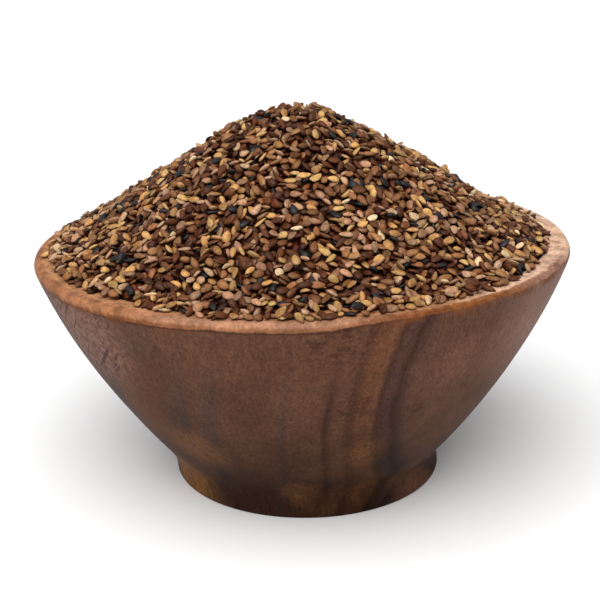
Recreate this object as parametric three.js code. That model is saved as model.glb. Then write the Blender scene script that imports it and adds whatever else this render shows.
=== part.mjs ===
// A turned wooden bowl heaped with sesame seeds.
//
// Millimetres, +Z up. The origin lies on the table, under the middle of the rim.
// The bowl is one lathe profile. It leans a little to -X above its foot, as the
// hand-turned original does. The heap is one closed solid: an uneven cone whose
// skin has bumps of a seed's size and spills a little over the rim, above an
// underside that follows the cavity.

import * as THREE from 'three';
import { mergeVertices } from 'three/addons/utils/BufferGeometryUtils.js';

// ---------------------------------------------------------------- dimensions

// Bowl, outside
const RIM_RADIUS = 63.5;
const RIM_CORNER_HEIGHT = 56.6; // where the wall is widest
const SHOULDER_RADIUS = 62.0; // where the rounded outer edge meets the flat top
const SHOULDER_RISE = 1.65; // from the corner up to the flat top
const NECK_RADIUS = 33.0; // ring where the wall stands on the foot
const NECK_HEIGHT = 6.0;
const NECK_OFFSET = 0.85; // the neck was cut this far off the middle, to -X
const FOOT_RADIUS = 33.0;
const FOOT_EDGE_ROUND = 0.7; // rounding under the foot
const WALL_BULGE = 3.1; // how far the wall bows out halfway up
const LEAN = THREE.MathUtils.degToRad(0.8); // of the body over the level foot
const LEAN_START = 4.4; // height over the neck in which the lean sets in

// Bowl, inside
const CAVITY_RADIUS = 57.6; // at the rim's inner edge
const CAVITY_FLOOR_HEIGHT = 9.5;
const CAVITY_SIDE_POWER = 2.5; // powers of the superellipse that shapes the cavity
const CAVITY_DEPTH_POWER = 1.3;
const INNER_EDGE_ROUND = 0.8;

// Heap: heights of the skin along a radius, on the -X and the +X side
const HEAP_RADII = [0, 7, 16, 26, 36, 46, 53, 60];
const HEAP_LEFT_HEIGHTS = [89.9, 89.0, 85.4, 79.1, 73.2, 67.1, 63.0, 59.7];
const HEAP_RIGHT_HEIGHTS = [89.9, 89.0, 83.9, 78.4, 72.1, 65.1, 61.5, 59.3];
const EDGE_SCATTER = 0.4; // unevenness of the spilled edge
const SIDE_CLEARANCE = 0.4; // between the heap and the cavity's wall
const FLOOR_CLEARANCE = 0.5; // between the heap and the cavity's floor
const RIM_CLEARANCE = 0.35; // between the spilled seeds and the rim's flat top
const SEED_THICKNESS = 1.0;

// Heap: radius of its edge every 15 degrees, from +X round towards +Y. The edge lies
// on the rim's flat top and covers nearly all of it at the front.
const HEAP_EDGE_RADII = [
  58.0, 58.0, 58.8, 58.9, 59.0, 59.1, 59.1, 59.2, 59.3, 59.5, 59.9, 60.2,
  60.0, 59.2, 59.9, 59.2, 60.3, 61.2, 61.5, 60.8, 59.5, 60.0, 58.4, 58.2,
];

// Facets
const BOWL_SEGMENTS = 60;
const WALL_STEPS = 7;
const CAVITY_STEPS = 7;
const EDGE_STEPS = 3;
const HEAP_RINGS = 39; // skin points lie on rings about 1.5 mm apart
const UNDERSIDE_SEGMENTS = 48;
const JITTER = 0.32; // scatter of skin points, as a share of their spacing

const RIM_TOP_HEIGHT = RIM_CORNER_HEIGHT + SHOULDER_RISE;
const CAVITY_DEPTH = RIM_TOP_HEIGHT - CAVITY_FLOOR_HEIGHT;

// ------------------------------------------------------------------- helpers

// Small seeded random source, so that every run gives the same heap.
function makeRandom(seed) {
  let state = seed >>> 0;
  return () => {
    state = (Math.imul(state, 1664525) + 1013904223) >>> 0;
    return state / 4294967296;
  };
}

// The body leans to -X over the foot, which stays level, a little off the middle.
function leaned(x, y, z) {
  const slope = Math.sin(LEAN);
  const sideways = (RIM_CORNER_HEIGHT - Math.max(z, NECK_HEIGHT)) * slope;
  const share = THREE.MathUtils.clamp((z - NECK_HEIGHT) / LEAN_START, 0, 1);
  const nearNeck = Math.max(0, 1 - Math.abs(z - NECK_HEIGHT) / LEAN_START);
  return [x + sideways - NECK_OFFSET * nearNeck, y, z + x * slope * share];
}

function leanGeometry(geometry) {
  const position = geometry.getAttribute('position');
  for (let i = 0; i < position.count; i += 1) {
    const point = leaned(position.getX(i), position.getY(i), position.getZ(i));
    position.setXYZ(i, ...point);
  }
  return geometry;
}

// ---------------------------------------------------------------------- bowl

// Radius of the outer wall at a share t of the way from the neck to the corner.
function wallRadius(t) {
  const bulge = 4 * WALL_BULGE * t * (1 - t);
  return NECK_RADIUS + (RIM_RADIUS - NECK_RADIUS) * t + bulge;
}

// Superellipse of the cavity, from its floor on the axis up to the rim.
// The clearances shrink it for what lies inside.
function cavityPoint(t, sideClearance = 0, floorClearance = 0) {
  const angle = (t * Math.PI) / 2;
  const width = Math.pow(Math.sin(angle), 2 / CAVITY_SIDE_POWER);
  const drop = Math.pow(Math.cos(angle), 2 / CAVITY_DEPTH_POWER);
  const radius = (CAVITY_RADIUS - sideClearance) * width;
  const height = RIM_TOP_HEIGHT - (CAVITY_DEPTH - floorClearance) * drop;
  return new THREE.Vector2(radius, height);
}

function bowlProfile() {
  const points = [new THREE.Vector2(0, 0)];

  // Flat underside, its rounded edge and the foot's side
  const footCorner = FOOT_RADIUS - FOOT_EDGE_ROUND;
  for (let i = 0; i <= EDGE_STEPS; i += 1) {
    const angle = (i / EDGE_STEPS) * (Math.PI / 2);
    points.push(new THREE.Vector2(
      footCorner + FOOT_EDGE_ROUND * Math.sin(angle),
      FOOT_EDGE_ROUND * (1 - Math.cos(angle)),
    ));
  }

  // Outer wall, from the neck up to the widest ring
  for (let i = 0; i <= WALL_STEPS; i += 1) {
    const t = i / WALL_STEPS;
    const height = NECK_HEIGHT + (RIM_CORNER_HEIGHT - NECK_HEIGHT) * t;
    points.push(new THREE.Vector2(wallRadius(t), height));
  }

  // Rounded outer edge of the rim, then its flat top
  for (let i = 1; i <= EDGE_STEPS; i += 1) {
    const angle = (i / EDGE_STEPS) * (Math.PI / 2);
    points.push(new THREE.Vector2(
      SHOULDER_RADIUS + (RIM_RADIUS - SHOULDER_RADIUS) * Math.cos(angle),
      RIM_CORNER_HEIGHT + SHOULDER_RISE * Math.sin(angle),
    ));
  }
  points.push(new THREE.Vector2(CAVITY_RADIUS + INNER_EDGE_ROUND, RIM_TOP_HEIGHT));

  // Cavity, down to its floor on the axis
  for (let i = CAVITY_STEPS; i >= 0; i -= 1) {
    const point = cavityPoint(i / CAVITY_STEPS);
    point.y = Math.min(point.y, RIM_TOP_HEIGHT - INNER_EDGE_ROUND);
    points.push(point);
  }
  return points;
}

// A lathe turns about Y; the part stands on Z.
function turned(profile, segments) {
  const geometry = new THREE.LatheGeometry(profile, segments);
  geometry.rotateX(Math.PI / 2);
  geometry.deleteAttribute('uv');
  geometry.deleteAttribute('normal');
  return mergeVertices(geometry, 1e-4);
}

function makeBowl() {
  const geometry = leanGeometry(turned(bowlProfile(), BOWL_SEGMENTS));
  geometry.computeVertexNormals();
  const wood = new THREE.MeshStandardMaterial({
    color: 0x6b4a36,
    roughness: 0.45,
    metalness: 0,
  });
  const bowl = new THREE.Mesh(geometry, wood);
  bowl.name = 'bowl';
  return bowl;
}

// ---------------------------------------------------------------------- heap

const leftHeight = new THREE.CubicInterpolant(HEAP_RADII, HEAP_LEFT_HEIGHTS, 1);
const rightHeight = new THREE.CubicInterpolant(HEAP_RADII, HEAP_RIGHT_HEIGHTS, 1);

// Height of the heap's mean skin, blended round the axis from left to right.
function heapHeight(radius, angle) {
  const toRight = 0.5 + 0.5 * Math.cos(angle);
  const left = leftHeight.evaluate(radius)[0];
  const right = rightHeight.evaluate(radius)[0];
  return left + (right - left) * toRight;
}

// Radius of the heap's edge in a direction, between the two nearest listed ones.
function edgeRadius(angle) {
  const count = HEAP_EDGE_RADII.length;
  const place = (angle / (2 * Math.PI)) * count;
  const before = Math.floor(place);
  const listed = (i) => HEAP_EDGE_RADII[(i + count) % count];
  return THREE.MathUtils.lerp(listed(before), listed(before + 1), place - before);
}

// Skin points: the peak, then rings of 6, 12, 18 ... points, each point scattered
// a little over its share of the skin.
function skinPoints(random) {
  const either = () => 2 * random() - 1;
  const points = [{ radius: 0, angle: 0 }];
  for (let ring = 1; ring <= HEAP_RINGS; ring += 1) {
    const count = 6 * ring;
    for (let i = 0; i < count; i += 1) {
      const angle = (2 * Math.PI * (i + JITTER * either())) / count;
      const spacing = edgeRadius(angle) / HEAP_RINGS;
      const scatter = ring < HEAP_RINGS ? JITTER * spacing : EDGE_SCATTER;
      points.push({ radius: ring * spacing + scatter * either(), angle });
    }
  }
  return points;
}

// Triangles between two closed rings, walked side by side; outwards and upwards.
function zipRings(inner, outer, triangles) {
  let i = 0;
  let j = 0;
  while (i < inner.length || j < outer.length) {
    const a = inner[i % inner.length];
    const b = outer[j % outer.length];
    const nextInner = (i + 1) / inner.length;
    const nextOuter = (j + 1) / outer.length;
    if (j < outer.length && (nextOuter <= nextInner || i >= inner.length)) {
      triangles.push([a, b, outer[(j + 1) % outer.length]]);
      j += 1;
    } else {
      triangles.push([a, b, inner[(i + 1) % inner.length]]);
      i += 1;
    }
  }
}

function indexRing(first, count) {
  return Array.from({ length: count }, (_, i) => first + i);
}

function skinTriangles() {
  const triangles = [];
  const firstRing = indexRing(1, 6);
  firstRing.forEach((point, i) => triangles.push([0, point, firstRing[(i + 1) % 6]]));
  let inner = firstRing;
  for (let ring = 2; ring <= HEAP_RINGS; ring += 1) {
    const outer = indexRing(inner[0] + inner.length, 6 * ring);
    zipRings(inner, outer, triangles);
    inner = outer;
  }
  return { triangles, edgeRing: inner };
}

function neighbourLists(pointCount, triangles) {
  const neighbours = Array.from({ length: pointCount }, () => new Set());
  for (const [a, b, c] of triangles) {
    neighbours[a].add(b).add(c);
    neighbours[b].add(a).add(c);
    neighbours[c].add(a).add(b);
  }
  return neighbours;
}

function shuffled(count, random) {
  const order = Array.from({ length: count }, (_, i) => i);
  for (let i = count - 1; i > 0; i -= 1) {
    const j = Math.floor(random() * (i + 1));
    [order[i], order[j]] = [order[j], order[i]];
  }
  return order;
}

// A seed that lies on the skin raises two neighbouring points, its two ends, and
// one that stands on end raises a single point. Seeds keep a low point between
// them. Everything else is the hollow between seeds.
function seedBumps(neighbours, random) {
  const raise = new Array(neighbours.length).fill(-0.35 * SEED_THICKNESS);
  const taken = new Array(neighbours.length).fill(false);
  const isFree = (point, partner) => !taken[point]
    && [...neighbours[point]].every((near) => near === partner || !taken[near]);
  const lift = () => SEED_THICKNESS * (0.35 + 0.55 * random());
  const order = shuffled(neighbours.length, random);

  for (const point of order) {
    const partners = [...neighbours[point]];
    const start = Math.floor(random() * partners.length);
    for (let turn = 0; turn < partners.length && !taken[point]; turn += 1) {
      const partner = partners[(start + turn) % partners.length];
      if (isFree(point, partner) && isFree(partner, point)) {
        [taken[point], taken[partner]] = [true, true];
        [raise[point], raise[partner]] = [lift(), lift()];
      }
    }
  }
  for (const point of order) {
    if (isFree(point, -1)) {
      taken[point] = true;
      raise[point] = lift();
    }
  }
  return raise;
}

// The underside runs from the skin's edge in over the rim, then follows the
// cavity down to its floor.
function addUnderside(positions, triangles, edgeRing) {
  const rows = CAVITY_STEPS;
  let upper = edgeRing;
  for (let row = rows; row >= 1; row -= 1) {
    const point = cavityPoint(row / rows, SIDE_CLEARANCE, FLOOR_CLEARANCE);
    if (row === rows) {
      point.y += RIM_CLEARANCE;
    }
    const lower = indexRing(positions.length, UNDERSIDE_SEGMENTS);
    for (let i = 0; i < UNDERSIDE_SEGMENTS; i += 1) {
      const angle = (2 * Math.PI * i) / UNDERSIDE_SEGMENTS;
      positions.push([point.x * Math.cos(angle), point.x * Math.sin(angle), point.y]);
    }
    zipRings(upper, lower, triangles);
    upper = lower;
  }
  const floor = cavityPoint(0, SIDE_CLEARANCE, FLOOR_CLEARANCE);
  const pole = positions.length;
  positions.push([0, 0, floor.y]);
  upper.forEach((point, i) => triangles.push([point, pole, upper[(i + 1) % upper.length]]));
}

function heapGeometry() {
  const random = makeRandom(20240611);
  const points = skinPoints(random);
  const { triangles, edgeRing } = skinTriangles();
  const raise = seedBumps(neighbourLists(points.length, triangles), random);
  const lowest = RIM_TOP_HEIGHT + RIM_CLEARANCE + SEED_THICKNESS / 2;
  const positions = points.map(({ radius, angle }, i) => [
    radius * Math.cos(angle),
    radius * Math.sin(angle),
    Math.max(heapHeight(radius, angle) + raise[i], lowest),
  ]);
  addUnderside(positions, triangles, edgeRing);

  const geometry = new THREE.BufferGeometry();
  const flat = positions.map((point) => leaned(...point)).flat();
  geometry.setAttribute('position', new THREE.Float32BufferAttribute(flat, 3));
  geometry.setIndex(triangles.flat());
  geometry.computeVertexNormals();
  return geometry;
}

function makeHeap() {
  const seeds = new THREE.MeshStandardMaterial({
    color: 0x9c6f45,
    roughness: 0.6,
    metalness: 0,
  });
  const heap = new THREE.Mesh(heapGeometry(), seeds);
  heap.name = 'sesame_seeds';
  return heap;
}

// ------------------------------------------------------------------ assembly

const part = new THREE.Group();
part.add(makeBowl(), makeHeap());

export default part;
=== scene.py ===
import math

import bpy
import bmesh
import numpy as np
from bpy.props import FloatProperty, FloatVectorProperty, IntProperty, PointerProperty
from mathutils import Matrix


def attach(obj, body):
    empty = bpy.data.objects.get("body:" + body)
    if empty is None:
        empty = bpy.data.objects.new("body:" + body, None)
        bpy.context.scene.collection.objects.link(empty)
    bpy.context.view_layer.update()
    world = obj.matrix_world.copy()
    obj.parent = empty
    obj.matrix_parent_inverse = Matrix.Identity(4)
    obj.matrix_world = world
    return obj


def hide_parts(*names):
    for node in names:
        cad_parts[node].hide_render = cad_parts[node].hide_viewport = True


bl_info = {
    "name": "Bowl of Sesame Seeds",
    "version": (1, 0, 0),
    "blender": (4, 5, 0),
    "location": "3D View > Sidebar > Sesame",
    "description": "A turned wooden bowl heaped with mixed sesame seeds",
    "category": "Object",
}

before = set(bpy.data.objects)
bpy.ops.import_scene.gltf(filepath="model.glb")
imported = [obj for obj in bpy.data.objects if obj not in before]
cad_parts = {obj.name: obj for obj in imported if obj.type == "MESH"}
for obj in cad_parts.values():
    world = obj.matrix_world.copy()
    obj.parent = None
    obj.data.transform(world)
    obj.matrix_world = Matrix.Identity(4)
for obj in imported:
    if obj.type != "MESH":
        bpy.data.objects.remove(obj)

MM = 0.001
BODY = "root"
BOWL_NODE = "bowl"
HEAP_NODE = "sesame_seeds"

# Heights of the heap's skin along a radius, on the -X and on the +X side, in mm
HEAP_RADII = (0, 7, 16, 26, 36, 46, 53, 60)
HEAP_LEFT_HEIGHTS = (90.3, 89.4, 85.8, 79.5, 73.6, 67.5, 63.4, 59.9)
HEAP_RIGHT_HEIGHTS = (90.3, 89.4, 84.3, 78.8, 72.5, 65.4, 61.8, 59.4)

# Radius of the heap's edge every 15 degrees, from +X round towards +Y, in mm
HEAP_EDGE_RADII = (
    58.0, 58.0, 58.8, 58.9, 59.0, 59.1, 59.1, 59.2, 59.3, 59.5, 59.9, 60.2,
    60.0, 59.2, 59.9, 59.2, 60.3, 61.2, 61.5, 60.8, 59.5, 60.0, 58.4, 58.2,
)

# One entry for each kind of seed: its share of the heap and its colour property
SEED_KINDS = {
    "seeds_mid_brown": (0.27, "mid_brown"),
    "seeds_tan": (0.175, "tan"),
    "seeds_golden": (0.22, "golden"),
    "seeds_dark_brown": (0.23, "dark_brown"),
    "seeds_black": (0.07, "black"),
    "seeds_cream": (0.025, "cream"),
}

# Tones of the wood along a line across its growth rings, in mm from the middle of the front.
# Each is a place on that line and the colour property that the wood has there.
GROWTH_RINGS = (
    (-104, "wood"), (-88, "wood_warm"), (-80, "wood_streak"), (-76, "wood"), (-58, "wood_dim"),
    (-55, "wood"), (-42, "wood_warm"), (-31, "wood_dim"), (-29, "wood"), (-22.5, "wood_dim"),
    (-20, "wood"), (-6.4, "wood"), (-5.2, "wood_dim"), (-3.6, "wood"), (3.2, "wood"),
    (4.4, "wood_streak"), (5.8, "wood"), (8.0, "wood"), (9.0, "wood_streak"),
    (10.0, "wood_warm"), (11.7, "wood_warm"), (12.9, "wood_orange"), (13.9, "wood_streak"),
    (15.1, "wood_band"), (16.5, "wood_streak"), (17.3, "wood_band"), (18.4, "wood_light"),
    (24.2, "wood_light"), (25.2, "wood"), (26.4, "wood_light"), (28.0, "wood_light"),
)
RING_REACH = 110

# Places of the wall where the wood is golden or smudged, or painted dim as shade under the rim:
# where they are and how far they reach, in mm, and how strong they are
GOLDEN_PLACES = (
    (-29, -18, 3, 14, 0.95), (-24, -37, 21, 10, 0.4), (-2, -35, 8, 6, 0.32),
    (13, -43, 21, 7, 0.28), (12, -31, 6, 6, 0.12),
)
SHADE_UNDER_RIM_PLACES = ((-35, -51, 52, 9, 0.6),)
SMUDGED_PLACES = ((9, -52, 35, 9, 1), (21, -47, 31, 8, 1), (13, -47, 27, 7, 1))

# Zones of the wall: X and Z in mm where each starts and where it is full, and its strength
# at both of those heights
WALL_ZONES = {
    "plain_front": ((14, 8), (34, 50), (0.0, 0.75)),
    # foot_right is where the painted shade low on the wall is held back
    "foot_right": ((14, 26), (13, 7), (0.15, 0.65)),
    # sheen_high_right is where a painted sheen pales the upper right wall
    "sheen_high_right": ((36, 50), (28, 44), (0.0, 0.5)),
}

# Changes of the rim along X: from where to where in mm, and the values at both ends where
# they aren't 0 and 1
RIM_CHANGES = {
    "right": (4, 28),
    "left": (-20, -40, 0.0, 0.72),
    "low_left": (-16, -36, 0.0, 0.8),
    "far_right": (40, 52),
    "top_wear_and_sheen": (26, 44),
    "border_rise": (2, 16, 0.0, 0.9 * MM),
    "dark_line": (10, 36, 0.7, 0.1),
}

# Bands of the rim by height over its widest ring, given in the same way
RIM_BANDS = {
    "dark_line_bottom": (-0.8, -0.15),
    "dark_line_top": (0.25, -0.05),
    "lip": (-0.12, 0.20),
    "low_edge": (1.0, 0.4, 0.0, 0.85),
    "bled": (-1.7, -0.2),
}

# Fibres run up the wall, turned by this much in radians, and pores are short dashes along
# them. The scales draw patterns out, along Z or along the scratches, because they multiply
# the place that a pattern reads.
FIBRE_TURN = (0, 0.25, 0)
FIBRE_SCALE = (1, 1, 0.12)
PORE_SCALE = (1, 1, 0.5)
SMUDGE_SCALE = (0.5, 0.5, 1)
SCRATCH_SCALE = 0.035

# Noise patterns of the materials: how many fit in a metre, their detail and roughness
PATTERNS = {
    "fibres": (1100, 4, 0.7),
    "grain": (2200, 3, 0.75),
    "clouds": (60, 3, 0.55),
    "ring_waves": (26, 2, 0.5),
    "ring_ripples": (190, 3, 0.6),
    "smudge_areas": (30, 2, 0.5),
    "smudge_marks": (760, 4, 0.75),
    "sheen_dots": (700, 4, 0.75),
    "scratches": (1300, 1, 0.4),
    "rim_unevenness": (240, 5, 0.75),
    "rim_bleeding": (200, 3, 0.6),
    "rim_clouds": (170, 4, 0.65),
    "rim_specks": (620, 3, 0.6),
    "rim_stains": (330, 3, 0.7),
    "hull_mottling": (1300, 3, 0.6),
    "hull_bumps": (2500, 2, 0.6),
    "deep_mottling": (700, 2, 0.5),
    "deep_bumps": (900, 2, 0.5),
}
DEEP_CELLS = 480

# Steps in which each part of the section is drawn, and where the shoulder starts, in degrees
SECTION_STEPS = {"foot": 5, "wall": 25, "shoulder": 6, "inner": 4, "cavity": 24, "core": 6}
SHOULDER_START = 12

# Waves that hand finishing left in the bowl: how many go round, where they start and how
# they turn with each mm of height, in radians, and how deep they are, in mm
HAND_WAVES = ((2, 0.7, 0, 0.10), (3, 0, 0.05, 0.06), (7, 0, 0.21, 0.03), (11, 0, -0.13, 0.02))

# Room that the heap's core leaves to the cavity, and how far it is sunk under the map
CORE_CLEARANCE = 0.3 * MM
CORE_SINK = 0.1 * MM

# The height map reaches this far past the rim, falls this steeply over the rim's rounded
# edge and lies this much lower outside it
MAP_MARGIN = 2 * MM
EDGE_FALL = 1.2
OUTSIDE_DROP = 20 * MM

# Seeds that lie loose on the rim: their direction in degrees and distance in mm from the
# axis, the way they point in degrees, and their kind
LOOSE_ON_RIM = (
    (191, 60.9, 8, "seeds_golden"),
    (266, 61.0, 4, "seeds_golden"),
)

# The shape of a seed: widths of its rings by their latitude in degrees, from the pointed
# tip to the blunt end, the bends of its variants and their unevenness, as shares of its size
SEED_RING_WIDTHS = {60: 0.54, 30: 0.80, 0: 0.98, -30: 1.12, -60: 1.24}
SEED_BENDS = (0.0, 0.0, 0.06, -0.05, 0.14)
SEED_UNEVENNESS = 0.05

# What a kind's colour is multiplied by in its reddest, yellowest and darkest seeds
REDDEST = (1.04, 0.88, 0.76)
YELLOWEST = (1.0, 1.08, 1.04)
DARKEST = (1.0, 0.87, 0.75)


# ------------------------------------------------------------------ properties

def length(name, description, millimetres):
    return FloatProperty(
        name=name, description=description, default=millimetres * MM, unit="LENGTH", precision=5
    )


def in_degrees(name, description, degrees):
    return FloatProperty(
        name=name, description=description, default=math.radians(degrees), subtype="ANGLE"
    )


def number(name, description, value):
    return FloatProperty(name=name, description=description, default=value)


def whole_number(name, description, value):
    return IntProperty(name=name, description=description, default=value)


def triple(name, description, parts, subtype):
    return FloatVectorProperty(
        name=name, description=description, default=parts, size=3, subtype=subtype
    )


def colour(name, description, rgb):
    return FloatVectorProperty(
        name=name, description=description, default=rgb, size=3, subtype="COLOR", min=0, max=1
    )


class BowlSettings(bpy.types.PropertyGroup):
    """Sizes and colours of the turned wooden bowl."""

    rim_radius: length("Rim radius", "Radius of the widest ring, under the rounded edge", 63.5)
    rim_corner_height: length("Rim corner", "Height of the widest ring", 56.6)
    shoulder_radius: length("Shoulder radius", "Where the rounded edge meets the flat top", 62.0)
    shoulder_rise: length("Shoulder rise", "From the widest ring up to the flat top", 1.65)
    neck_radius: length("Neck radius", "Ring where the wall stands on the foot", 33.0)
    neck_height: length("Neck height", "Height of the foot", 6.0)
    neck_offset: length("Neck offset", "How far off the middle the neck was cut", 0.85)
    foot_radius: length("Foot radius", "Radius of the foot's side", 33.0)
    foot_round: length("Foot rounding", "Rounding under the foot", 0.7)
    wall_bulge: length("Wall bulge", "How far the wall bows out halfway up", 3.1)
    lean: in_degrees("Lean", "Lean of the body over its foot", 0.8)
    lean_start: length("Lean start", "Height over the neck in which the lean sets in", 4.4)
    cavity_radius: length("Cavity radius", "Radius of the rim's inner edge", 57.6)
    cavity_floor: length("Cavity floor", "Height of the cavity's floor", 9.5)
    cavity_side_power: number("Cavity side power", "Roundness of the cavity's section", 2.5)
    cavity_depth_power: number("Cavity depth power", "Steepness of the cavity's section", 1.3)
    inner_round: length("Inner rounding", "Rounding of the rim's inner edge", 0.8)
    turns: whole_number("Turn steps", "Steps of the spun surface", 128)
    ring_across: triple(
        "Ring direction", "Direction across the growth rings of the block",
        (1.0, -0.786, -0.553), "DIRECTION",
    )
    # The patch of painted sheen high on the left, which also holds the dark scratches
    sheen_patch_place: triple("Worn place", "Middle of the pale, scratched patch, in mm", (-47, -38, 49), "XYZ")
    scratch_way: triple(
        "Scratch direction", "The way the dark scratches of that patch run",
        (0.255, -0.775, 0.579), "DIRECTION",
    )
    wood: colour("Wood", "Main colour of the wall", (0.101, 0.045, 0.027))
    wood_light: colour("Light wood", "Colour of the wall on the right", (0.118, 0.054, 0.034))
    wood_warm: colour("Warm wood", "Colour of the warmer, browner rings", (0.114, 0.046, 0.023))
    wood_orange: colour("Orange wood", "Colour of the thin orange rings", (0.117, 0.051, 0.026))
    # Also painted as shade under the rim on the left
    wood_dim: colour("Dim wood", "Colour of the faint rings", (0.076, 0.041, 0.031))
    wood_band: colour("Banded wood", "Colour inside the broad dark ring", (0.077, 0.038, 0.029))
    wood_streak: colour("Streaks", "Colour of the dark rings", (0.044, 0.019, 0.013))
    wood_golden: colour("Golden wood", "Colour low on the wall and foot", (0.190, 0.082, 0.027))
    # Painted sheen: the pale colour on the upper right wall and on the patch high on the left
    wood_sheen: colour("Worn wood", "Colour of the pale patches", (0.260, 0.142, 0.106))
    # Partly wear and partly painted sheen: the rim's palest colour
    rim_wear_and_sheen: colour("Worn rim", "Palest colour of the rim", (0.61, 0.39, 0.265))
    rim_top: colour("Rim top", "Colour of the rim's flat top", (0.39, 0.185, 0.088))
    # Partly the rim's own colour and partly a painted highlight on the front of the edge
    rim_front: colour("Rim front", "Colour of the rounded edge at the front", (0.385, 0.190, 0.114))
    rim_edge: colour("Rim edge", "Colour of the rounded edge at the sides", (0.25, 0.096, 0.036))
    # Painted shade on the underside of the rounded edge at the sides, and the stains bled from it into the
    # wall
    rim_low: colour("Rim below", "Colour under that edge", (0.14, 0.045, 0.013))
    rim_far: colour("Rim far right", "Colour of the rounded edge at the far right", (0.26, 0.135, 0.092))


class HeapSettings(bpy.types.PropertyGroup):
    """Shape and build of the heap."""

    cell: length("Cell", "Cell of the height map on which seeds are laid", 0.2)
    core_depth: length("Core depth", "Depth of the bare core under the skin", 4.4)
    relief_depth: length("Relief depth", "Mean depth of the finished core under the skin", 3.1)
    skin_depth: length("Skin depth", "Mean depth of the seeds' tops under the skin", 0.55)
    core_cell: length("Core cell", "Spacing of the core's points", 0.5)
    most_seeds: whole_number("Most seeds", "Limit to the seeds of one layer", 9000)
    tries: whole_number("Tries", "Places compared for each seed, of which the lowest wins", 10)
    seed: whole_number("Random seed", "Seed of all random draws", 7)


class SeedSettings(bpy.types.PropertyGroup):
    """Size of one sesame seed and the colours of its kinds."""

    long: length("Seed length", "From the tip to the blunt end", 2.95)
    wide: length("Seed width", "Across the widest place", 1.75)
    thick: length("Seed thickness", "Through the middle", 0.88)
    variety: number("Variety", "Spread of the sizes, as a share of the mean", 0.11)
    mid_brown: colour("Mid brown", "Reddish mid brown hulls", (0.205, 0.090, 0.035))
    tan: colour("Tan", "Light brown hulls", (0.350, 0.196, 0.118))
    golden: colour("Golden", "Golden yellow hulls", (0.425, 0.238, 0.082))
    dark_brown: colour("Dark brown", "Dark brown hulls", (0.080, 0.023, 0.006))
    black: colour("Black", "Blue-black hulls", (0.011, 0.0095, 0.012))
    cream: colour("Cream", "Pale, partly hulled seeds", (0.62, 0.46, 0.29))
    rim: colour("Seed rim", "Pale colour towards the rim of each seed", (0.60, 0.44, 0.28))
    # Painted shade for the seeds deep in the gaps
    hollow: colour("Hollows", "What multiplies the hulls deep in the gaps", (0.25, 0.092, 0.042))


class StageSettings(bpy.types.PropertyGroup):
    """Camera, light and floor."""

    camera_height: length("Camera height", "Of the point that the camera looks at", 42.36)
    camera_side: length("Camera side", "Sideways place of that point", -0.59)
    camera_distance: length("Camera distance", "From that point", 300)
    camera_elevation: in_degrees("Camera elevation", "Above the horizon", 18.19)
    camera_roll: in_degrees("Camera roll", "About the line of sight", 0.86)
    camera_lens: number("Lens", "Focal length in mm", 73.28)
    key_strength: number("Key light", "Strength of the main light", 3.5)
    key_turn: triple("Key turn", "Turn of the main light from straight down", (0.55, -0.16, 0), "EULER")
    key_spread: in_degrees("Key softness", "Angle under which the main light is seen", 58)
    sky: number("Sky", "Strength of the white surroundings", 0.40)
    floor: colour("Floor", "Colour of the pale floor", (0.88, 0.88, 0.88))


# --------------------------------------------------------------------- helpers

def deselect_all():
    if bpy.context.object and bpy.context.object.mode != "OBJECT":
        bpy.ops.object.mode_set(mode="OBJECT")
    bpy.ops.object.select_all(action="DESELECT")


def make_active(piece):
    deselect_all()
    piece.select_set(True)
    bpy.context.view_layer.objects.active = piece


def points_of(mesh):
    flat = np.empty(len(mesh.vertices) * 3, np.float32)
    mesh.vertices.foreach_get("co", flat)
    return flat.reshape(-1, 3).astype(float)


def move_points(mesh, points):
    mesh.vertices.foreach_set("co", np.asarray(points, np.float32).ravel())
    mesh.update()


def point_attribute(mesh, name, values, kind="FLOAT"):
    """Stores one value, or one vector, for each point of the mesh."""
    layer = mesh.attributes.new(name, kind, "POINT")
    field = "value" if kind == "FLOAT" else "vector"
    layer.data.foreach_set(field, np.asarray(values, np.float32).ravel())


def joined_mesh(name, points, faces, copies):
    """One mesh of many copies of a shape: points is (copies, n, 3), and faces are those of
    one copy, as a list of vertex numbers each."""
    per_copy = points.shape[1]
    sizes = np.tile([len(f) for f in faces], copies)
    corners = np.concatenate([np.asarray(f) for f in faces])
    all_corners = (np.arange(copies)[:, None] * per_copy + corners[None, :]).ravel()
    mesh = bpy.data.meshes.new(name)
    mesh.vertices.add(copies * per_copy)
    mesh.vertices.foreach_set("co", points.astype(np.float32).ravel())
    mesh.loops.add(len(all_corners))
    mesh.loops.foreach_set("vertex_index", all_corners.astype(np.int32))
    mesh.polygons.add(len(sizes))
    starts = np.concatenate([[0], np.cumsum(sizes)[:-1]])
    mesh.polygons.foreach_set("loop_start", starts.astype(np.int32))
    mesh.polygons.foreach_set("loop_total", sizes.astype(np.int32))
    mesh.polygons.foreach_set("use_smooth", np.ones(len(sizes), bool))
    mesh.update(calc_edges=True)
    mesh.validate()
    return mesh


def add_piece(name, mesh):
    piece = bpy.data.objects.new(name, mesh)
    bpy.context.scene.collection.objects.link(piece)
    return piece


def settle(piece, node, material):
    """Gives a finished piece its material, hangs it on the body and hides the CAD part that it stands for.
    """
    piece.data.materials.clear()
    piece.data.materials.append(material)
    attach(piece, BODY)
    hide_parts(node)


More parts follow.
